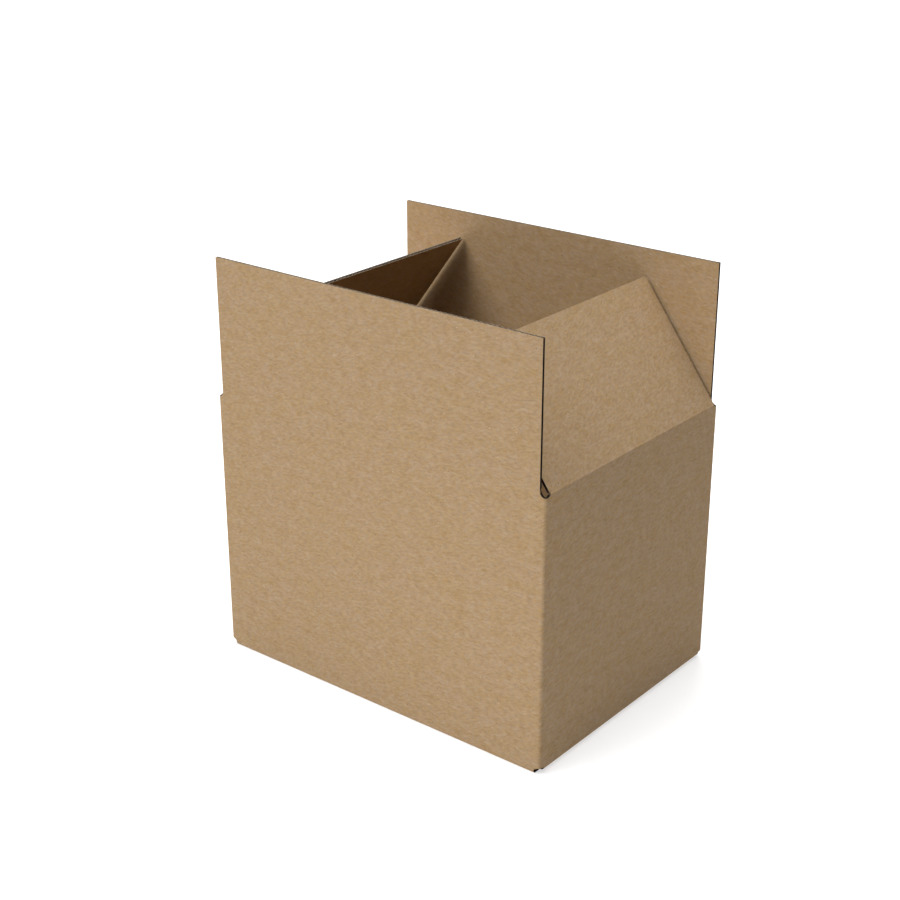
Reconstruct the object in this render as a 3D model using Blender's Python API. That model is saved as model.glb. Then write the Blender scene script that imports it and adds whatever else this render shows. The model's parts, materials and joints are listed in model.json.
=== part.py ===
"""Open shipping carton, folded from one sheet of single-wall fluted board.

Metres, +Z up. The origin is the middle of the base, and the front panel faces -Y.
The carton is made the way a box maker makes it. The flat blank is drawn with its slots
and glue lap, its flutes are opened at the cut edges, and it is then folded along its
creases. The bottom is folded shut and glued. The four top flaps swing, so each is an
object of its own, with its origin on its crease.
"""

import math

import bmesh
import bpy
from mathutils import Matrix, Vector

# Outside sizes of the folded carton
BOX_LENGTH = 0.4500  # along X, the front and back panels
BOX_WIDTH = 0.3225  # along Y, the left and right panels
SIDE_CREASE_HEIGHT = 0.3160  # base to the crease of the left and right top flaps

# Flaps. The front and back ones fold outermost, so their creases sit one layer further out.
MAJOR_FLAP_LENGTH = 0.1555  # front and back, crease to free edge
MINOR_FLAP_LENGTH = 0.1605  # left and right, crease to free edge
MINOR_FLAP_LEAN = math.radians(36.5)  # how far the left and right flaps lean inwards
BOTTOM_SEAM = 0.0010  # gap where the two outer bottom flaps meet

# Board
BOARD = 0.0030  # whole thickness
LINER = 0.0004
MEDIUM = 0.0003  # the wavy layer
FLUTE_PITCH = 0.0062
CELL_WIDE_SHARE = 0.71  # width of a flute's hollow at its liner, of the pitch
CELL_NARROW_SHARE = 0.13  # and at the crest of the medium
FOLD_RADIUS = 0.0034  # outer face of a fold
FOLD_STEPS = 4
LAYER_GAP = 0.0003  # between two layers that lie on each other
CREASE_GAP = 0.0003  # between a wall and its flap
CRUSHED_STRIP = 0.0040  # flutes are pressed flat this far from a crease

# Slots between the flaps
SLOT_SETBACK = 0.0075  # side of a flap from the outer face round the corner
TOP_SLOT_DEPTH = 0.0028  # round end of the slot below the side creases
BOTTOM_SLOT_RISE = 0.0012  # round end of the slot above the bottom folds
SLOT_STEPS = 8

# Glued corner
JOINT_GAP = 0.0010  # raw edge of the left panel from the back face
LAP_WIDTH = 0.0350
LAP_END_GAP = 0.0120  # ends of the lap from the creases
LAP_TAPER = 0.0080

OVERRUN = 0.0020  # how far a cutter runs past the face that it cuts
WELD = 0.000001
KRAFT = (0.43, 0.30, 0.18, 1.0)
KRAFT_ROUGHNESS = 0.9

LAYER_STEP = BOARD + LAYER_GAP
FRONT_CREASE_HEIGHT = SIDE_CREASE_HEIGHT + LAYER_STEP
QUARTER_TURN = FOLD_RADIUS * math.pi / 2  # length of board in one right-angled fold
PUSH_AXES = {  # where an outline's own X and Y go when it is pushed along an axis
    "X": Matrix(((0, 0, 1, 0), (1, 0, 0, 0), (0, 1, 0, 0), (0, 0, 0, 1))),
    "Y": Matrix(((1, 0, 0, 0), (0, 0, -1, 0), (0, 1, 0, 0), (0, 0, 0, 1))),
    "Z": Matrix.Identity(4),
}


def clear_scene():
    for obj in list(bpy.data.objects):
        bpy.data.objects.remove(obj, do_unlink=True)


def new_collection(name):
    collection = bpy.data.collections.new(name)
    bpy.context.scene.collection.children.link(collection)
    return collection


def kraft_material(name):
    material = bpy.data.materials.new(name)
    material.use_nodes = True
    shader = material.node_tree.nodes["Principled BSDF"]
    shader.inputs["Base Color"].default_value = KRAFT
    shader.inputs["Roughness"].default_value = KRAFT_ROUGHNESS
    shader.inputs["Metallic"].default_value = 0
    return material


# Solids from flat outlines

def evaluated_mesh(obj):
    graph = bpy.context.evaluated_depsgraph_get()
    return bpy.data.meshes.new_from_object(obj.evaluated_get(graph))


def prism(name, outlines, low, high, along):
    """Flat outlines pushed from low to high along an axis, as one mesh with welded caps."""
    curve = bpy.data.curves.new(name, "CURVE")
    curve.dimensions = "2D"
    curve.fill_mode = "BOTH"
    curve.extrude = (high - low) / 2
    for outline in outlines:
        spline = curve.splines.new("POLY")
        spline.points.add(len(outline) - 1)
        for point, (across, up) in zip(spline.points, outline):
            point.co = (across, up, 0, 1)
        spline.use_cyclic_u = True
    guide = bpy.data.objects.new(name, curve)
    bpy.context.scene.collection.objects.link(guide)
    mesh = evaluated_mesh(guide)
    bpy.data.objects.remove(guide, do_unlink=True)
    middle = Vector([(low + high) / 2 if axis == along else 0 for axis in "XYZ"])
    mesh.transform(Matrix.Translation(middle) @ PUSH_AXES[along])
    welded = bmesh.new()
    welded.from_mesh(mesh)
    bmesh.ops.remove_doubles(welded, verts=welded.verts, dist=WELD)
    bmesh.ops.recalc_face_normals(welded, faces=welded.faces)
    welded.to_mesh(mesh)
    welded.free()
    return mesh


def cut(board, cutters):
    """The board's mesh with each cutter's mesh taken out of it."""
    target = bpy.data.objects.new("board", board)
    bpy.context.scene.collection.objects.link(target)
    tools = []
    for mesh in cutters:
        tool = bpy.data.objects.new("cutter", mesh)
        bpy.context.scene.collection.objects.link(tool)
        boolean = target.modifiers.new("cut", "BOOLEAN")
        boolean.operation = "DIFFERENCE"
        boolean.solver = "EXACT"
        boolean.object = tool
        tools.append(tool)
    result = evaluated_mesh(target)
    for obj in [target] + tools:
        bpy.data.objects.remove(obj, do_unlink=True)
    return result


def flute_cells(name, centre, width, low, high):
    """Hollows of the flutes across a board, and the half flute laid open along each side.

    A board lies with its outer face at Y = 0, its inner face at Y = BOARD and its flutes
    along Z. The hollows are wide at one liner and then at the other, with the medium between.
    """
    wide = FLUTE_PITCH * CELL_WIDE_SHARE / 2
    narrow = FLUTE_PITCH * CELL_NARROW_SHARE / 2
    half_pitch = FLUTE_PITCH / 2
    land = 4 * MEDIUM  # least board left beside the last hollow
    count = int((width / 2 - wide - land) / half_pitch) * 2 + 1
    outlines = []
    for index in range(count):
        middle = centre + (index - (count - 1) / 2) * half_pitch
        near, far = LINER, BOARD - LINER - MEDIUM
        if index % 2:
            near, far = BOARD - near, BOARD - far
        outlines.append(
            [(middle - wide, near), (middle + wide, near), (middle + narrow, far), (middle - narrow, far)]
        )
    last = (count - 1) / 2 * half_pitch + wide + MEDIUM
    for side in (-1, 1):
        outlines.append(edge_groove(centre + side * width / 2, centre + side * last))
    return prism(name, outlines, low, high, "Z")


def edge_groove(edge, depth_at):
    """Outline of the open flute along a cut side, between the two liners."""
    past = edge + math.copysign(OVERRUN, edge - depth_at)
    return [(past, LINER), (depth_at, LINER), (depth_at, BOARD - LINER), (past, BOARD - LINER)]


def crease_cutter(name, start, end, crease, towards):
    """Bar that bevels a board's edge at 45 degrees on its inner side, for half of a crease."""
    edge = crease + towards * CREASE_GAP / 2
    reach = BOARD + OVERRUN
    outline = [
        (-OVERRUN, edge - towards * OVERRUN),
        (reach, edge + towards * reach),
        (reach, edge - towards * OVERRUN * 2),
        (-OVERRUN, edge - towards * OVERRUN * 2),
    ]
    return prism(name, [outline], start, end, "X")


# The blank, flat. X runs along the outer faces of the panels and Z up them.

def plan_legs():
    """The folded sheet from above: straight runs of its outer face, each after a left turn."""
    lap_face = BOX_LENGTH / 2 - LAYER_STEP
    corners = [
        Vector((-BOX_LENGTH / 2, BOX_WIDTH / 2 - JOINT_GAP)),
        Vector((-BOX_LENGTH / 2, -BOX_WIDTH / 2)),
        Vector((BOX_LENGTH / 2, -BOX_WIDTH / 2)),
        Vector((BOX_LENGTH / 2, BOX_WIDTH / 2)),
        Vector((-lap_face, BOX_WIDTH / 2)),
        Vector((-lap_face, BOX_WIDTH / 2 - LAP_WIDTH)),
    ]
    legs = []
    flat = 0
    for index, name in enumerate(("left", "front", "right", "back", "lap")):
        heading = (corners[index + 1] - corners[index]).normalized()
        start = corners[index] + heading * (FOLD_RADIUS if name != "left" else 0)
        end = corners[index + 1] - heading * (FOLD_RADIUS if name != "lap" else 0)
        length = (end - start).length
        legs.append({"name": name, "start": start, "heading": heading, "low": flat, "high": flat + length})
        flat += length + QUARTER_TURN
    return legs


def flap_spans(legs):
    """Where each panel's flaps run along the blank, with the panel's crease and base heights."""
    beside = SLOT_SETBACK - FOLD_RADIUS
    spans = []
    for leg in legs[:4]:
        low, high = leg["low"] + beside, leg["high"] - beside
        if leg["name"] == "left":
            low = leg["low"] + SLOT_SETBACK - JOINT_GAP
        if leg["name"] == "back":
            high += LAYER_STEP
        major = leg["name"] in ("front", "back")
        reach = BOX_WIDTH / 2 - BOTTOM_SEAM / 2 if major else MINOR_FLAP_LENGTH
        base = 0 if major else LAYER_STEP
        fold_top = base + FOLD_RADIUS
        spans.append(
            {
                "low": low,
                "high": min(high, leg["high"]),
                "crease": (FRONT_CREASE_HEIGHT if major else SIDE_CREASE_HEIGHT) - CREASE_GAP / 2,
                "base": base,
                "fold_top": fold_top,
                "free_edge": fold_top - QUARTER_TURN - (reach - FOLD_RADIUS),
                "major": major,
            }
        )
    return spans


def slot_end(start, end, level):
    """Round end of a slot, from the side of one flap to the side of the next, through a level."""
    points = []
    for step in range(1, SLOT_STEPS):
        turn = math.pi * step / SLOT_STEPS
        share = (1 - math.cos(turn)) / 2
        across = start[0] + (end[0] - start[0]) * share
        spring = start[1] + (end[1] - start[1]) * share
        points.append((across, spring + (level - spring) * math.sin(turn)))
    return points


def blank_outline(legs, spans):
    """The blank's cut edge: along the bottom flaps, round the glue lap and back along the top."""
    lap = legs[4]
    slot_bottom = SIDE_CREASE_HEIGHT - TOP_SLOT_DEPTH
    slot_top = LAYER_STEP + FOLD_RADIUS + BOTTOM_SLOT_RISE
    lap_low, lap_high = slot_top + LAP_END_GAP, slot_bottom - LAP_END_GAP
    outline = [(0, slot_top)]
    for span, following in zip(spans, spans[1:] + [None]):
        outline += [(span["low"], span["fold_top"]), (span["low"], span["free_edge"])]
        outline += [(span["high"], span["free_edge"]), (span["high"], span["fold_top"])]
        if following:
            outline += slot_end(outline[-1], (following["low"], following["fold_top"]), slot_top)
    outline += [(lap["low"], lap_low), (lap["high"], lap_low + LAP_TAPER)]
    outline += [(lap["high"], lap_high - LAP_TAPER), (lap["low"], lap_high)]
    for span, previous in zip(reversed(spans), list(reversed(spans[:-1])) + [None]):
        outline += [(span["high"], span["crease"]), (span["low"], span["crease"])]
        if previous:
            outline += slot_end(outline[-1], (previous["high"], previous["crease"]), slot_bottom)
    outline.append((0, slot_bottom))
    return outline


def blank_cutters(legs, spans):
    """Bevels at the top creases, and the flutes laid open at the cut edges."""
    cutters = []
    groove = FLUTE_PITCH * CELL_NARROW_SHARE + MEDIUM
    for span in spans:
        crease = span["crease"] + CREASE_GAP / 2
        start, end = span["low"] - SLOT_SETBACK / 2, span["high"] + SLOT_SETBACK / 2
        cutters.append(crease_cutter("crease", start, end, crease, -1))
        flute_low = span["free_edge"] - OVERRUN
        flute_high = span["fold_top"] - QUARTER_TURN - CRUSHED_STRIP
        if span["major"]:
            sides = [(span["low"], span["low"] + groove), (span["high"], span["high"] - groove)]
            grooves = [edge_groove(edge, inner) for edge, inner in sides]
            cutters.append(prism("grooves", grooves, flute_low, flute_high, "Z"))
        else:
            middle = (span["low"] + span["high"]) / 2
            width = span["high"] - span["low"]
            cutters.append(flute_cells("flutes", middle, width, flute_low, flute_high))
    raw_edges = [edge_groove(0, groove), edge_groove(legs[4]["high"], legs[4]["high"] - groove)]
    cutters.append(prism("raw edges", raw_edges, -OVERRUN, FRONT_CREASE_HEIGHT, "Z"))
    return cutters


# Folding

def fold_lines(legs):
    """Planes that cross the blank wherever a fold begins, turns or ends."""
    planes = []
    for leg in legs[:4]:
        for step in range(FOLD_STEPS + 1):
            planes.append((Vector((leg["high"] + QUARTER_TURN * step / FOLD_STEPS, 0, 0)), Vector((1, 0, 0))))
    for base in (0, LAYER_STEP):
        for step in range(FOLD_STEPS + 1):
            height = base + FOLD_RADIUS - QUARTER_TURN * step / FOLD_STEPS
            planes.append((Vector((0, 0, height)), Vector((0, 0, 1))))
    return planes


def fold_under(depth, height, span):
    """Where a point of a panel goes, inwards and up, once its bottom flap is folded in."""
    below = span["fold_top"] - height
    if below <= 0:
        return depth, height
    if below >= QUARTER_TURN:
        return FOLD_RADIUS + below - QUARTER_TURN, span["base"] + depth
    turn = below / FOLD_RADIUS
    radius = FOLD_RADIUS - depth
    return FOLD_RADIUS - radius * math.cos(turn), span["fold_top"] - radius * math.sin(turn)


def fold_round(flat, inwards, legs):
    """Where a point goes in plan, once the panels are folded round the carton."""
    for leg in legs:
        heading = leg["heading"]
        inner = Vector((-heading.y, heading.x))
        if flat <= leg["high"] or leg["name"] == "lap":
            return leg["start"] + heading * (flat - leg["low"]) + inner * inwards
        if flat < leg["high"] + QUARTER_TURN:
            centre = leg["start"] + heading * (leg["high"] - leg["low"]) + inner * FOLD_RADIUS
            turn = Matrix.Rotation((flat - leg["high"]) / FOLD_RADIUS, 2)
            return centre - turn @ inner * (FOLD_RADIUS - inwards)


def folded(blank, legs, spans):
    """The cut blank, creased along its fold lines and folded into the carton."""
    sheet = bmesh.new()
    sheet.from_mesh(blank)
    for point, normal in fold_lines(legs):
        everything = sheet.verts[:] + sheet.edges[:] + sheet.faces[:]
        bmesh.ops.bisect_plane(sheet, geom=everything, dist=WELD, plane_co=point, plane_no=normal)
    for vertex in sheet.verts:
        flat, depth, height = vertex.co
        inwards = depth
        for span in spans:
            if span["low"] - WELD <= flat <= span["high"] + WELD:
                inwards, height = fold_under(depth, height, span)
        place = fold_round(flat, inwards, legs)
        vertex.co = (place.x, place.y, height)
    sheet.to_mesh(blank)
    sheet.free()
    return blank


def carton_body(collection):
    legs = plan_legs()
    spans = flap_spans(legs)
    blank = prism("carton_body", [blank_outline(legs, spans)], 0, BOARD, "Y")
    blank = cut(blank, blank_cutters(legs, spans))
    body = bpy.data.objects.new("carton_body", folded(blank, legs, spans))
    body.data.materials.clear()
    body.data.materials.append(kraft_material("body_board"))
    collection.objects.link(body)


def top_flap(collection, name, panel, length, crease, facing, lean):
    """A flap whose origin is on its crease, in the wall's outer face. Its own +Y points inwards."""
    width = panel - 2 * SLOT_SETBACK
    low = CREASE_GAP / 2
    outline = [(-width / 2, low), (width / 2, low), (width / 2, length), (-width / 2, length)]
    board = prism(name, [outline], 0, BOARD, "Y")
    cutters = [
        crease_cutter("crease", -width / 2 - OVERRUN, width / 2 + OVERRUN, 0, 1),
        flute_cells("flutes", 0, width, BOARD + CRUSHED_STRIP, length + OVERRUN),
    ]
    flap = bpy.data.objects.new(name, cut(board, cutters))
    flap.data.materials.clear()
    flap.data.materials.append(kraft_material(name + "_board"))
    out = (math.sin(facing), -math.cos(facing))
    flap.location = (out[0] * BOX_LENGTH / 2, out[1] * BOX_WIDTH / 2, crease)
    flap.rotation_euler = (-lean, 0, facing)
    collection.objects.link(flap)


def main():
    clear_scene()
    carton = new_collection("open_carton")
    carton_body(carton)
    major = (BOX_LENGTH, MAJOR_FLAP_LENGTH, FRONT_CREASE_HEIGHT)
    minor = (BOX_WIDTH, MINOR_FLAP_LENGTH, SIDE_CREASE_HEIGHT)
    quarter = math.pi / 2
    top_flap(carton, "front_flap", *major, 0, 0)
    top_flap(carton, "right_flap", *minor, quarter, MINOR_FLAP_LEAN)
    top_flap(carton, "back_flap", *major, 2 * quarter, 0)
    top_flap(carton, "left_flap", *minor, -quarter, MINOR_FLAP_LEAN)


main()
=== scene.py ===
import json
from math import ceil, cos, floor, pi, radians, tan

import bmesh
import bpy
import numpy as np
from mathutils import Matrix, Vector

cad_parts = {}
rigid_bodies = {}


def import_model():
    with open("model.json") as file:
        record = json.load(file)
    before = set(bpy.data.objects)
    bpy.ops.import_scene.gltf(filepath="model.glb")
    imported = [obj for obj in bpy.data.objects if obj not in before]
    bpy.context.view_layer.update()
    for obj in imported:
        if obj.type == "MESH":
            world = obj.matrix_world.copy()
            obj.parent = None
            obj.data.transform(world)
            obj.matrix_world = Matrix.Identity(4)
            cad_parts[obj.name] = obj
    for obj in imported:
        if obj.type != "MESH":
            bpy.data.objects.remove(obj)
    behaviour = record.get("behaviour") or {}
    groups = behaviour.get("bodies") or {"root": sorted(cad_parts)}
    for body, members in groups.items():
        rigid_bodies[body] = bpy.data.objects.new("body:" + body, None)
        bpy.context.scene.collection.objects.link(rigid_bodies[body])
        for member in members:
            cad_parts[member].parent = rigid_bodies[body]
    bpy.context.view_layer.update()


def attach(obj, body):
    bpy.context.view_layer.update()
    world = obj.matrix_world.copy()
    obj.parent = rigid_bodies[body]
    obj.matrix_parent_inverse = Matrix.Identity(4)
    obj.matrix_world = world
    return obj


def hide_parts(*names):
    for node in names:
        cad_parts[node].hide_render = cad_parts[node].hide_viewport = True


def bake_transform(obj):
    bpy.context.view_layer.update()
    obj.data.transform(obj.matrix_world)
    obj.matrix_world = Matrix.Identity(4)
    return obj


# An open carton of fluted board. Each layer of the board is made flat, cut, and folded as on a
# box maker's table: outer liner, wavy medium and inner liner. Metres, front panel towards -Y.

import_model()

carton = {
    "length": 0.4500,  # along X, over the outer faces
    "width": 0.3225,  # along Y
    "sideCrease": 0.3160,  # base to the creases of the left and right top flaps
    "frontCrease": 0.3193,  # base to the creases of the front and back top flaps
    "frontFlap": 0.1555,  # crease to free edge
    "sideFlap": 0.1605,
    "sideLean": radians(36.5),  # how far the left and right top flaps lean inwards
    "slotSetback": 0.0075,  # side of a flap from the outer face round the corner
    "slotBottom": 0.3132,
    "slotTop": 0.0079,  # round end of the slots between the bottom flaps
    "bottomSeam": 0.0010,
    "jointGap": 0.0010,  # raw edge of the left panel from the back face
    "lapWidth": 0.0350,
    "lapEndGap": 0.0120,
    "lapSlope": radians(14.2),
}
board = {
    "thick": 0.0030,
    "liner": 0.0004,
    "medium": 0.0005,  # with its fuzzy cut ends
    "pitch": 0.0062,  # from flute to flute
    "waveSteps": 8,
    "foldRadius": 0.0034,  # outer face of a fold
    "foldSteps": 8,
    "support": 0.0004,  # flat strip beside a fold, so that only the fold is shaded round
    "layerStep": 0.0033,  # the side panels' bottom flaps lie this much higher
    "foldPress": 0.0040,  # flutes start this far from a bottom fold
    "flutesAbove": 0.0005,  # and the walls' own this far above the lower slots
    "pressedFlat": 0.001,  # share of a wave's height that is left in a crease
    "mergeWithin": 0.00001,
    "smoothAngle": 25,  # degrees; sharper edges stay crisp
}
crease = {
    "halfWeb": 0.0012,  # board pressed thin on both sides of a top crease
    "halfGroove": 0.0031,  # and rising to its whole thickness here
    "press": 0.0019,
    "margin": 0.0035,  # a flap's piece starts this far below its crease
    "rows": 9,
    "edgeGroove": 0.0046,  # flutes end this far inside a flap's side edges
}

front = -carton["width"] / 2  # the front panel's outer face
roll = board["foldRadius"] * pi / 2  # length of board in a right-angled fold
frontHalf = carton["length"] / 2 - board["foldRadius"]
sideRun = carton["width"] - 2 * board["foldRadius"]
tiny = 0.000002
loose = 0.0003


# Selecting and moving


def activate(obj):
    if bpy.context.mode != "OBJECT":
        bpy.ops.object.mode_set(mode="OBJECT")
    bpy.ops.object.select_all(action="DESELECT")
    obj.select_set(True)
    bpy.context.view_layer.objects.active = obj


def placesOf(obj):
    places = np.empty(len(obj.data.vertices) * 3)
    obj.data.vertices.foreach_get("co", places)
    return places.reshape(-1, 3)


def pickPoints(obj, chosen):
    bpy.ops.mesh.select_all(action="DESELECT")
    shape = bmesh.from_edit_mesh(obj.data)
    shape.verts.ensure_lookup_table()
    for index in np.flatnonzero(chosen):
        shape.verts[index].select_set(True)
    shape.select_flush(True)
    bmesh.update_edit_mesh(obj.data, loop_triangles=False, destructive=False)


def turnPoints(angle, axis, centre):
    bpy.ops.transform.rotate(value=-angle, orient_axis=axis, center_override=centre)


# Cuts new edges across the mesh at these positions along an axis
def splitAt(obj, axis, positions):
    activate(obj)
    bpy.ops.object.mode_set(mode="EDIT")
    normal = [float(axis == name) for name in "XYZ"]
    for position in positions:
        bpy.ops.mesh.select_all(action="SELECT")
        bpy.ops.mesh.bisect(plane_co=[n * position for n in normal], plane_no=normal)
    bpy.ops.object.mode_set(mode="OBJECT")


def addBlock(name, low, high, slope=0):
    bpy.ops.object.select_all(action="DESELECT")
    middle = [(a + b) / 2 for a, b in zip(low, high)]
    size = [b - a for a, b in zip(low, high)]
    bpy.ops.mesh.primitive_cube_add(size=1, location=middle, rotation=(0, slope, 0), scale=size)
    block = bpy.context.object
    block.name = name
    bpy.ops.object.transform_apply(location=True, rotation=True, scale=True)
    return block


def applyModifier(obj, kind, **settings):
    activate(obj)
    modifier = obj.modifiers.new(kind.lower(), kind)
    for key, value in settings.items():
        setattr(modifier, key, value)
    bpy.ops.object.modifier_apply(modifier=modifier.name)


# The flat blank, with the front panel already in its place and the rest beside it


# Where each panel starts and ends along the blank, and the flap above it
def panelPlan():
    setback = carton["slotSetback"] - board["foldRadius"]
    backRun = 2 * frontHalf - board["layerStep"]
    rightLow = frontHalf + roll
    backLow = rightLow + sideRun + roll
    panels = {
        "left": (-rightLow - sideRun - board["foldRadius"] + carton["jointGap"], -rightLow),
        "front": (-frontHalf, frontHalf),
        "right": (rightLow, rightLow + sideRun),
        "back": (backLow, backLow + backRun),
    }
    plan = {}
    for name, (low, high) in panels.items():
        major = name in ("front", "back")
        width = (carton["length"] if major else carton["width"]) - 2 * carton["slotSetback"]
        flapLow = high - setback - width if name == "left" else low + setback
        foldTop = board["foldRadius"] + (0 if major else board["layerStep"])
        reach = (carton["width"] - carton["bottomSeam"]) / 2 if major else carton["sideFlap"]
        plan[name] = {
            "low": low,
            "high": high,
            "flapLow": flapLow,
            "flapHigh": flapLow + width,
            "crease": carton["frontCrease"] if major else carton["sideCrease"],
            "foldTop": foldTop,
            "freeEdge": foldTop - roll - (reach - board["foldRadius"]),
        }
    return plan


plan = panelPlan()
lapLow = plan["back"]["high"] + roll
blankLow = plan["left"]["low"]
blankHigh = lapLow + carton["lapWidth"] - board["foldRadius"]
cutter = {
    "near": front - 0.004,  # in front of the sheet
    "far": front + 0.008,  # behind it
    "above": 0.4,  # past the sheet's upper edge
    "below": -0.3,
    "facets": 32,  # round a slot's end
    "lapReach": 0.2,
    "sideMargin": 0.001,
}


# A slot with a round end at a level. It runs out into its sides at two heights
def slotCutter(name, middle, half, level, sprung, towards):
    bpy.ops.object.select_all(action="DESELECT")
    bpy.ops.mesh.primitive_cylinder_add(
        vertices=cutter["facets"],
        radius=1,
        depth=cutter["far"] - cutter["near"],
        location=(middle, (cutter["near"] + cutter["far"]) / 2, level + towards),
        rotation=(pi / 2, 0, 0),
        scale=(half, 1, 1),
    )
    slot = bpy.context.object
    slot.name = name
    bpy.ops.object.transform_apply(location=True, rotation=True, scale=True)
    places = placesOf(slot)
    low = (places[:, 2] - level - towards) * towards < tiny  # the round half, with its ends
    bpy.ops.object.mode_set(mode="EDIT")
    for side, spring in zip((-1, 1), sprung):
        pickPoints(slot, low & ((places[:, 0] - middle) * side > tiny))
        bpy.ops.transform.resize(
            value=(1, 1, abs(spring - level)), center_override=(middle, front, level)
        )
    bpy.ops.object.mode_set(mode="OBJECT")
    return slot


# Everything that is cut away from the flat sheet, in a collection of its own
def blankCutters():
    cutters = []
    near, far = cutter["near"], cutter["far"]
    panels = list(plan.values())
    last = len(panels)
    half = carton["slotSetback"] - board["foldRadius"] + roll / 2
    for index in range(last + 1):
        before, after = panels[max(index - 1, 0)], panels[min(index, last - 1)]
        middle = after["flapLow"] - half if index < last else before["flapHigh"] + half
        creases = (before["crease"], after["crease"])
        folds = (before["foldTop"], after["foldTop"])
        cutters.append(slotCutter("slotAbove", middle, half, carton["slotBottom"], creases, 1))
        cutters.append(slotCutter("slotBelow", middle, half, carton["slotTop"], folds, -1))
    for panel in panels:
        seam = panel["crease"] - crease["margin"]
        low, high = panel["flapLow"], panel["flapHigh"]
        cutters.append(addBlock("flapRoom", (low, near, seam), (high, far, cutter["above"])))
        low, high = low - cutter["sideMargin"], high + cutter["sideMargin"]
        end = addBlock("flapEnd", (low, near, cutter["below"]), (high, far, panel["freeEdge"]))
        cutters.append(end)
    lapTop = carton["slotBottom"] - carton["lapEndGap"]
    lapBase = carton["slotTop"] + carton["lapEndGap"]
    for level, side in ((lapTop, 1), (lapBase, -1)):
        low, high = sorted((level, level + side * cutter["above"]))
        reach = cutter["lapReach"]
        wedge = addBlock("lapEnd", (lapLow, near, low), (lapLow + reach, far, high))
        places = placesOf(wedge)
        activate(wedge)
        bpy.ops.object.mode_set(mode="EDIT")
        pickPoints(wedge, (places[:, 0] > lapLow + tiny) & (abs(places[:, 2] - level) < tiny))
        bpy.ops.transform.translate(value=(0, 0, -side * reach * tan(carton["lapSlope"])))
        bpy.ops.object.mode_set(mode="OBJECT")
        cutters.append(wedge)
    group = bpy.data.collections.new("cutters")
    for piece in cutters:
        group.objects.link(piece)
    return group


# A UV map in metres along and up the flat blank, so that fibres run on over every fold
def layFlatMap(obj, acrossShift=0):
    layers = obj.data.uv_layers
    layer = layers[0] if layers else layers.new(name="blank")
    layer.name = "blank"
    corners = np.empty(len(obj.data.loops), int)
    obj.data.loops.foreach_get("vertex_index", corners)
    places = placesOf(obj)[corners]
    flat = np.stack([places[:, 0] + acrossShift, places[:, 2]], 1)
    layer.data.foreach_set("uv", flat.ravel())


# Cut faces that face up on the top flaps' free edges get a lighter brown, painted light from
# above; the other cut faces are painted dark
def paintedLitEdge(face):
    return face.normal.z > 0.7 and face.center.z > carton["frontCrease"]


# The sheet still lies flat. The side that faces the flutes is painted dark, as painted shade of
# the flutes
def dressLiner(obj, facing, outwards):
    obj.data.materials.clear()
    for paper in (facing, paintedShadeEdgePaper, paintedShadeFlutes, paintedLitEdgePaper):
        obj.data.materials.append(paper)
    for face in obj.data.polygons:
        if abs(face.normal.y) < 0.5:
            face.material_index = 3 if paintedLitEdge(face) else 1
        else:
            face.material_index = 0 if face.normal.y * outwards > 0 else 2


# Flutes painted nearly black as painted shade, their up-facing cut ends lighter as painted light
def dressFlutes(obj):
    obj.data.materials.clear()
    for paper in (paintedShadeFlutes, paintedLitEdgePaper):
        obj.data.materials.append(paper)
    for face in obj.data.polygons:
        face.material_index = int(paintedLitEdge(face))


# The medium between two places along the blank: one wave modelled, then repeated
def waveSheet(name, low, high, base, top, rows=(), crest=0.0):
    amplitude = board["thick"] / 2 - board["liner"] - board["medium"] / 2
    pitch, steps = board["pitch"], board["waveSteps"]
    start = crest + floor((low - crest) / pitch) * pitch  # where a wave touches the inner liner
    count = ceil((high - start) / pitch)
    middle = front + board["thick"] / 2
    bpy.ops.object.select_all(action="DESELECT")
    bpy.ops.mesh.primitive_grid_add(
        x_subdivisions=steps,
        y_subdivisions=1,
        size=1,
        location=(start + pitch / 2, middle, (base + top) / 2),
    )
    sheet = bpy.context.object
    sheet.scale = (pitch, top - base, 1)
    sheet.rotation_euler.x = pi / 2
    sheet.name = name
    bpy.ops.object.transform_apply(location=True, rotation=True, scale=True)
    places = placesOf(sheet)
    bpy.ops.object.mode_set(mode="EDIT")
    for step in range(steps + 1):
        pickPoints(sheet, abs(places[:, 0] - start - pitch * step / steps) < tiny)
        height = amplitude * cos(2 * pi * step / steps)
        bpy.ops.transform.translate(value=(0, height, 0))
    bpy.ops.object.mode_set(mode="OBJECT")
    splitAt(sheet, "Z", rows)
    if rows:
        pressed = abs(placesOf(sheet)[:, 2] - (rows[0] + rows[-1]) / 2) < crease["halfWeb"] + tiny
        bpy.ops.object.mode_set(mode="EDIT")
        pickPoints(sheet, pressed)
        level = front + board["liner"] + board["medium"] / 2
        bpy.ops.transform.resize(value=(1, board["pressedFlat"], 1), center_override=(0, level, 0))
        bpy.ops.object.mode_set(mode="OBJECT")
    applyModifier(
        sheet,
        "ARRAY",
        count=count,
        use_relative_offset=False,
        use_constant_offset=True,
        constant_offset_displace=(pitch, 0, 0),
        use_merge_vertices=True,
        merge_threshold=board["mergeWithin"],
    )
    bpy.ops.object.mode_set(mode="EDIT")
    bpy.ops.mesh.select_all(action="SELECT")
    bpy.ops.mesh.bisect(plane_co=(low, 0, 0), plane_no=(1, 0, 0), clear_inner=True)
    bpy.ops.mesh.select_all(action="SELECT")
    bpy.ops.mesh.bisect(plane_co=(high, 0, 0), plane_no=(1, 0, 0), clear_outer=True)
    bpy.ops.object.mode_set(mode="OBJECT")
    applyModifier(sheet, "SOLIDIFY", thickness=board["medium"], offset=0, use_rim=True)
    return sheet


# Folding


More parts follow.
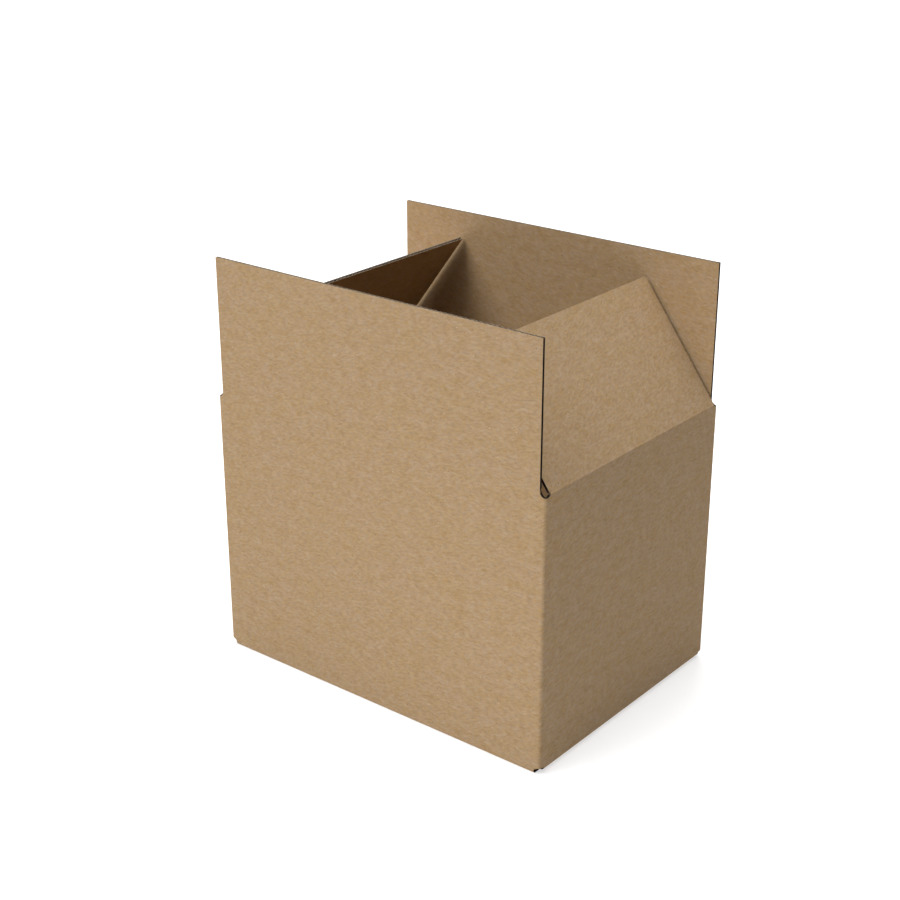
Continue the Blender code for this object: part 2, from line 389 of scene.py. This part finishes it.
# Rolls what lies beyond a line round a quarter turn, strip by strip
def rollFold(obj, flat, axis, start, towards, turn, within=None):
    along = 0 if axis == "Z" else 2
    beyond = (flat[:, along] - start) * towards
    arcs = np.round(np.clip(beyond, 0, roll), 6)
    if within is not None:
        arcs = np.where(within, arcs, 0)
    centre = [0, front + board["foldRadius"], 0]
    centre[along] = start
    for arc in np.unique(arcs[arcs > 0]):
        pickPoints(obj, arcs == arc)
        back = [0, 0, 0]
        back[along] = -towards * float(arc)
        bpy.ops.transform.translate(value=back)
        turnPoints(turn * float(arc) / board["foldRadius"], axis, centre)


# The bottom flaps first, and then the corners from the glue lap inwards
def foldBlank(obj):
    flat = placesOf(obj)
    activate(obj)
    bpy.ops.object.mode_set(mode="EDIT")
    for panel in plan.values():
        across = (flat[:, 0] > panel["flapLow"] - loose) & (flat[:, 0] < panel["flapHigh"] + loose)
        rollFold(obj, flat, "X", panel["foldTop"], -1, 1, across)
    for name in ("back", "right", "front"):
        rollFold(obj, flat, "Z", plan[name]["high"], 1, 1)
    rollFold(obj, flat, "Z", plan["front"]["low"], -1, -1)
    bpy.ops.object.mode_set(mode="OBJECT")


def foldLines(start, towards):
    steps = board["foldSteps"]
    inside = [start + towards * roll * step / steps for step in range(steps + 1)]
    return [start - towards * board["support"], *inside, inside[-1] + towards * board["support"]]


def joinLayers(name, layers):
    activate(layers[0])
    for layer in layers:
        layer.select_set(True)
    bpy.ops.object.join()
    piece = bpy.context.object
    piece.name = name
    bpy.ops.object.mode_set(mode="EDIT")
    bpy.ops.mesh.select_all(action="SELECT")
    bpy.ops.mesh.normals_make_consistent(inside=False)
    bpy.ops.object.mode_set(mode="OBJECT")
    bpy.ops.object.shade_smooth_by_angle(angle=radians(board["smoothAngle"]))
    return piece


# Board finishes

kraft = {
    "yellow": (0.331, 0.223, 0.116),
    "pink": (0.331, 0.225, 0.127),
    "mottleLow": (0.930, 0.895, 0.800),  # soft blotches
    "mottleHigh": (1.065, 1.100, 1.200),
    "shadeLow": (0.845, 0.830, 0.810),  # fibres, darker and lighter than the paper
    "shadeHigh": (1.135, 1.150, 1.170),
    "amber": (1.025, 0.960, 0.790),  # strands of other colours
    "grey": (0.970, 1.035, 1.210),
    "fleck": (0.220, 0.130, 0.060),
    "chip": (0.460, 0.365, 0.265),
    # painted light: the up-facing cut edges, lighter than the other cuts
    "paintedLitEdge": (0.190, 0.150, 0.110),
    # painted shade: the other cut edges, a darker raw edge and mostly the shade in their flute
    # voids
    "paintedShadeEdge": (0.070, 0.054, 0.040),
    "medium": (0.022, 0.018, 0.015),  # painted shade: nearly black for the shade between the liners
    "roughness": 0.88,
    "gloss": 0.25,
    "bend": (4.0, 8.0, 0.0),  # how far the fibres wander, in mm
    "relief": 0.25,
    "reliefDepth": 0.00008,
}
grains = {  # mm across, mm up, detail, roughness, place in the noise, turn in degrees
    "fibres": (6.5, 2.4, 3.0, 0.55, 0.0, 13),
    "strands": (6.5, 2.4, 3.0, 0.55, 31.7, -12),
    "cloud": (60.0, 26.0, 3.0, 0.6, 12.3, 0),
    "blotch": (18.0, 9.0, 3.0, 0.6, 57.1, 0),
    "fine": (1.6, 0.7, 3.0, 0.6, 5.0, 0),
}
flecks = {"fleck": (19.0, 0.5), "chip": (31.0, 0.4)}  # mm apart, share that is there


def addNode(tree, kind, place, **settings):
    node = tree.nodes.new(kind)
    node.location = place
    for key, value in settings.items():
        setattr(node, key, value)
    return node


def setInputs(node, **values):
    for key, value in values.items():
        node.inputs[key].default_value = value
    return node


# Kraft liner: short wavy fibres along the blank, soft mottling, and sparse flecks. A lift above 1
# gives a lighter copy, painted light
def kraftPaper(name, paintedLightLift=1.0, shift=0.0):
    material = bpy.data.materials.new(name)
    material.use_nodes = True
    tree = material.node_tree
    link = tree.links.new
    shader = tree.nodes["Principled BSDF"]
    setInputs(shader, Roughness=kraft["roughness"])
    shader.inputs["Specular IOR Level"].default_value = kraft["gloss"]
    flat = addNode(tree, "ShaderNodeUVMap", (-1700, 0), uv_map="blank")
    inMm = addNode(tree, "ShaderNodeMapping", (-1500, 0))
    inMm.inputs["Scale"].default_value = (1000, 1000, 1)
    inMm.inputs["Location"].default_value = (shift, shift, 0)
    link(flat.outputs["UV"], inMm.inputs["Vector"])

    swirl = addNode(tree, "ShaderNodeTexNoise", (-1300, 300), noise_dimensions="2D")
    setInputs(swirl, Scale=0.045, Detail=2.0)
    link(inMm.outputs["Vector"], swirl.inputs["Vector"])
    bend = addNode(tree, "ShaderNodeVectorMath", (-1100, 300), operation="MULTIPLY_ADD")
    bend.inputs[1].default_value = kraft["bend"]
    link(swirl.outputs["Color"], bend.inputs[0])
    link(inMm.outputs["Vector"], bend.inputs[2])

    def noise(kind, place):
        across, up, detail, roughness, offset, turn = grains[kind]
        before = (place[0] - 200, place[1])
        stretch = addNode(tree, "ShaderNodeMapping", before, vector_type="TEXTURE")
        stretch.inputs["Scale"].default_value = (across, up, 1)
        stretch.inputs["Location"].default_value = (offset, offset, 0)
        stretch.inputs["Rotation"].default_value = (0, 0, radians(turn))
        link(bend.outputs["Vector"], stretch.inputs["Vector"])
        grain = addNode(tree, "ShaderNodeTexNoise", place, noise_dimensions="2D")
        setInputs(grain, Scale=1.0, Detail=detail, Roughness=roughness)
        link(stretch.outputs["Vector"], grain.inputs["Vector"])
        return grain.outputs["Fac"]

    def spread(source, low, high, place, out=(0.0, 1.0)):
        ramp = addNode(tree, "ShaderNodeMapRange", place)
        for key, value in zip(("From Min", "From Max", "To Min", "To Max"), (low, high, *out)):
            ramp.inputs[key].default_value = value
        link(source, ramp.inputs["Value"])
        return ramp.outputs["Result"]

    def mix(factor, first, second, place):
        node = addNode(tree, "ShaderNodeMix", place, data_type="RGBA")
        link(factor, node.inputs["Factor"])
        for socket, value in ((node.inputs[6], first), (node.inputs[7], second)):
            if isinstance(value, tuple):
                socket.default_value = (*value, 1)
            else:
                link(value, socket)
        return node.outputs[2]

    def tinted(color, tint, place):
        node = addNode(tree, "ShaderNodeVectorMath", place, operation="MULTIPLY")
        link(color, node.inputs[0])
        link(tint, node.inputs[1])
        return node.outputs["Vector"]

    fibres = spread(noise("fibres", (-700, 400)), 0.2, 0.8, (-450, 400))
    strands = spread(noise("strands", (-700, 100)), 0.2, 0.8, (-450, 100))
    cloud = spread(noise("cloud", (-700, -200)), 0.3, 0.7, (-450, -200))
    blotch = spread(noise("blotch", (-700, -500)), 0.2, 0.8, (-450, -500))
    low, high = (tuple(paintedLightLift * part for part in kraft[end]) for end in ("mottleLow", "mottleHigh"))
    paper = mix(cloud, kraft["yellow"], kraft["pink"], (-250, -200))
    mottling = mix(blotch, low, high, (-250, -450))
    shading = mix(fibres, kraft["shadeLow"], kraft["shadeHigh"], (-250, 400))
    streaks = mix(strands, kraft["amber"], kraft["grey"], (-250, 100))
    shaded = tinted(tinted(paper, mottling, (-50, -300)), shading, (0, 300))
    streaked = tinted(shaded, streaks, (200, 200))

    def addFlecks(kind, place, before):
        size, share = flecks[kind]
        cells = addNode(tree, "ShaderNodeTexVoronoi", place, voronoi_dimensions="2D")
        setInputs(cells, Scale=1 / size, Randomness=1.0)
        link(bend.outputs["Vector"], cells.inputs["Vector"])
        x, y = place
        near = spread(cells.outputs["Distance"], 0.75 / size, 0.35 / size, (x + 200, y))
        chosen = addNode(tree, "ShaderNodeMath", (x + 200, y - 200), operation="LESS_THAN")
        link(cells.outputs["Color"], chosen.inputs[0])
        chosen.inputs[1].default_value = share
        both = addNode(tree, "ShaderNodeMath", (x + 400, y), operation="MULTIPLY")
        link(near, both.inputs[0])
        link(chosen.outputs[0], both.inputs[1])
        return mix(both.outputs[0], before, kraft[kind], (x + 600, y))

    dotted = addFlecks("fleck", (400, -100), streaked)
    link(addFlecks("chip", (400, -500), dotted), shader.inputs["Base Color"])

    relief = addNode(tree, "ShaderNodeBump", (400, -800))
    setInputs(relief, Strength=kraft["relief"], Distance=kraft["reliefDepth"])
    link(noise("fine", (-700, -600)), relief.inputs["Height"])
    link(relief.outputs["Normal"], shader.inputs["Normal"])
    return material


# Torn paper fibres over a given colour, at the cut edges and in the flutes; the colours given
# carry painted light and shade
def rawPaper(name, color):
    material = bpy.data.materials.new(name)
    material.use_nodes = True
    tree = material.node_tree
    shader = tree.nodes["Principled BSDF"]
    setInputs(shader, Roughness=0.95)
    shader.inputs["Specular IOR Level"].default_value = 0.1
    place = addNode(tree, "ShaderNodeTexCoord", (-900, 0))
    grain = addNode(tree, "ShaderNodeTexNoise", (-650, 0))
    setInputs(grain, Scale=900.0, Detail=3.0, Roughness=0.65)
    tree.links.new(place.outputs["Object"], grain.inputs["Vector"])
    tone = addNode(tree, "ShaderNodeMix", (-300, 0), data_type="RGBA")
    for socket, share in ((tone.inputs[6], 0.7), (tone.inputs[7], 1.3)):
        socket.default_value = (*[share * part for part in color], 1)
    tree.links.new(grain.outputs["Fac"], tone.inputs["Factor"])
    tree.links.new(tone.outputs[2], shader.inputs["Base Color"])
    relief = addNode(tree, "ShaderNodeBump", (-300, -300))
    setInputs(relief, Strength=0.4, Distance=0.0002)
    tree.links.new(grain.outputs["Fac"], relief.inputs["Height"])
    tree.links.new(relief.outputs["Normal"], shader.inputs["Normal"])
    return material


outerKraft = kraftPaper("outerKraft")
# The inner liner is drawn 8% lighter, painted light that brightens the shaded inside of the box
innerKraft = kraftPaper("innerKraft", paintedLightLift=1.08, shift=431.0)
# Edge papers: a lighter one for up-facing cuts as painted light, a dark one for the other cuts as
# painted shade
paintedLitEdgePaper = rawPaper("paintedLitEdgePaper", kraft["paintedLitEdge"])
# a dark raw edge with painted shade of the flute voids
paintedShadeEdgePaper = rawPaper("paintedShadeEdgePaper", kraft["paintedShadeEdge"])
# painted shade: the flutes drawn nearly black for the shade between the liners
paintedShadeFlutes = rawPaper("paintedShadeFlutes", kraft["medium"])
liners = {  # from the outer face inwards: start and end, paper, side that faces away
    "outer": (0, board["liner"], outerKraft, -1),
    "inner": (board["thick"] - board["liner"], board["thick"], innerKraft, 1),
}
print("board finishes ready")


# The walls and the glued bottom, folded from one sheet


def foldedWalls():
    cutters = blankCutters()
    cutting = {
        "operation": "DIFFERENCE",
        "operand_type": "COLLECTION",
        "collection": cutters,
        "solver": "EXACT",
    }
    layers = []
    top = carton["frontCrease"]
    base = min(panel["freeEdge"] for panel in plan.values())
    for name, (near, far, facing, outwards) in liners.items():
        low, high = (blankLow, front + near, base), (blankHigh, front + far, top)
        sheet = addBlock(name + "Liner", low, high)
        applyModifier(sheet, "BOOLEAN", **cutting)
        for panelName in ("back", "right", "front"):
            splitAt(sheet, "X", foldLines(plan[panelName]["high"], 1))
        splitAt(sheet, "X", foldLines(plan["front"]["low"], -1))
        for panelName in ("front", "right"):
            splitAt(sheet, "Z", foldLines(plan[panelName]["foldTop"], -1))
        dressLiner(sheet, facing, outwards)
        layers.append(sheet)
    sides = [panel[side] for panel in plan.values() for side in ("flapLow", "flapHigh")]
    ends = [blankLow, *sides, blankHigh]
    waves = []
    for index, (low, high) in enumerate(zip(ends, ends[1:])):
        panel = list(plan.values())[min(index // 2, 3)]
        between = index % 2 == 0  # two flaps, up to the round end of their slot
        height = top if between else panel["crease"] - crease["margin"]
        wave = waveSheet("wallFlutes", low, high, carton["slotTop"] + board["flutesAbove"], height)
        if between:
            applyModifier(wave, "BOOLEAN", **cutting)
        waves.append(wave)
    for panel in plan.values():
        low, high = panel["flapLow"], panel["flapHigh"]
        foldEnd = panel["foldTop"] - roll - board["foldPress"]
        waves.append(waveSheet("bottomFlutes", low, high, panel["freeEdge"], foldEnd))
    layers.append(joinLayers("flutes", waves))
    dressFlutes(layers[-1])
    for layer in layers:
        layFlatMap(layer)
        foldBlank(layer)
    for piece in list(cutters.objects):
        bpy.data.objects.remove(piece)
    bpy.data.collections.remove(cutters)
    return joinLayers("cartonWalls", layers)


walls = foldedWalls()
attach(walls, "carton")
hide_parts("carton_body")
print("walls folded:", len(walls.data.polygons), "faces")


# The top flaps. Each piece starts just below its crease; the side flaps bend there


def smoothShare(share):
    return share * share * (3 - 2 * share)


def topFlap(name, panelName, length, away, facing, lean):
    panel = plan[panelName]
    half = (panel["flapHigh"] - panel["flapLow"]) / 2
    fold, web, groove = panel["crease"], crease["halfWeb"], crease["halfGroove"]
    low, high = fold - crease["margin"], fold + length
    bends = [fold + web * (2 * row / (crease["rows"] - 1) - 1) for row in range(crease["rows"])]
    rows = [fold - groove, *bends, fold + groove]
    layers = []
    for side, (near, far, paper, outwards) in liners.items():
        sheet = addBlock(name + side, (-half, front + near, low), (half, front + far, high))
        splitAt(sheet, "Z", rows)
        dressLiner(sheet, paper, outwards)
        if side == "inner":
            pressed = abs(placesOf(sheet)[:, 2] - fold) < web + tiny
            bpy.ops.object.mode_set(mode="EDIT")
            pickPoints(sheet, pressed)
            bpy.ops.transform.translate(value=(0, -crease["press"], 0))
            bpy.ops.object.mode_set(mode="OBJECT")
        layers.append(sheet)
    inset = half - crease["edgeGroove"]
    wave = waveSheet(name + "flutes", -inset, inset, low, high, rows, half)
    dressFlutes(wave)
    layers.append(wave)
    for layer in layers:
        layFlatMap(layer, (panel["flapLow"] + panel["flapHigh"]) / 2)
    flap = joinLayers(name, layers)
    flat = placesOf(flap)
    shares = np.round(np.clip((flat[:, 2] - fold + web) / (2 * web), 0, 1), 4)
    bpy.ops.object.mode_set(mode="EDIT")
    if lean:
        for share in np.unique(shares[shares > 0]):
            pickPoints(flap, shares == share)
            turnPoints(-lean * smoothShare(float(share)), "X", (0, front, fold))
    bpy.ops.mesh.select_all(action="SELECT")
    bpy.ops.transform.translate(value=(0, -away - front, 0))
    turnPoints(facing, "Z", (0, 0, 0))
    bpy.ops.object.mode_set(mode="OBJECT")
    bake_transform(flap)
    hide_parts(name)
    print(name, "made:", len(flap.data.polygons), "faces")
    return flap


halfLength, halfWidth = carton["length"] / 2, carton["width"] / 2
lean = carton["sideLean"]
flaps = {  # node, panel, crease to free edge, crease from the middle, way it faces, lean
    "frontFlap": ("front_flap", "front", carton["frontFlap"], halfWidth, 0, 0),
    "backFlap": ("back_flap", "back", carton["frontFlap"], halfWidth, pi, 0),
    "rightFlap": ("right_flap", "right", carton["sideFlap"], halfLength, pi / 2, lean),
    "leftFlap": ("left_flap", "left", carton["sideFlap"], halfLength, -pi / 2, lean),
}
for pieceName, settings in flaps.items():
    topFlap(*settings).name = pieceName


# Studio

studio = {
    "floorSize": 30.0,
    "floorColor": (0.45, 0.45, 0.45, 1),
    "floorGlow": 0.6,  # a light table, which softens the shadow
    "cameraPlace": (1.06409, -1.35219, 0.96874),
    "cameraTurn": (radians(67.4406), 0, radians(38.7944)),
    "lens": 66.418,
    "world": 0.07,  # light from all round
}
lamps = {  # place, watts, size, point aimed at
    "frontLamp": ((-1.0, -2.2, 2.8), 84, 2.0, (0, 0, 0.2)),
    "topLamp": ((0.0, 0.0, 3.2), 120, 2.5, (0, 0, 0)),
    "leftLamp": ((-3.0, -0.3, 1.6), 14, 2.0, (0, 0, 0.2)),
    "farLamp": ((-2.6, 3.4, 4.0), 310, 4.0, (-2.6, 3.4, 0)),
    "lowFrontLamp": ((0.25, -0.72, 0.06), 0.85, 0.3, (0, -0.16, 0.02)),
}


def addFloor():
    bpy.ops.object.select_all(action="DESELECT")
    bpy.ops.mesh.primitive_grid_add(x_subdivisions=4, y_subdivisions=4, size=studio["floorSize"])
    ground = bpy.context.object
    ground.name = "floor"
    paint = bpy.data.materials.new("floorPaint")
    paint.use_nodes = True
    shader = setInputs(paint.node_tree.nodes["Principled BSDF"], Roughness=0.9)
    shader.inputs["Base Color"].default_value = studio["floorColor"]
    shader.inputs["Emission Color"].default_value = (1, 1, 1, 1)
    shader.inputs["Emission Strength"].default_value = studio["floorGlow"]
    ground.data.materials.append(paint)


def addLamps():
    for name, (place, power, size, aim) in lamps.items():
        bpy.ops.object.light_add(type="AREA", location=place)
        lamp = bpy.context.object
        lamp.name = name
        lamp.data.shape = "DISK"
        lamp.data.size = size
        lamp.data.energy = power
        lamp.visible_camera = False
        lamp.rotation_euler = (Vector(aim) - lamp.location).to_track_quat("-Z", "Y").to_euler()


def addWorld():
    world = bpy.data.worlds.new("studioAir")
    bpy.context.scene.world = world
    world.use_nodes = True
    sky = world.node_tree.nodes["Background"]
    setInputs(sky, Color=(1, 1, 1, 1), Strength=studio["world"])


def addCamera():
    bpy.ops.object.camera_add(location=studio["cameraPlace"], rotation=studio["cameraTurn"])
    camera = bpy.context.object
    camera.data.lens = studio["lens"]
    camera.data.sensor_width = 36
    bpy.context.scene.camera = camera
    bpy.context.scene.view_settings.view_transform = "Standard"
    bpy.context.scene.view_settings.look = "None"


addFloor()
addLamps()
addWorld()
addCamera()
print("studio ready")
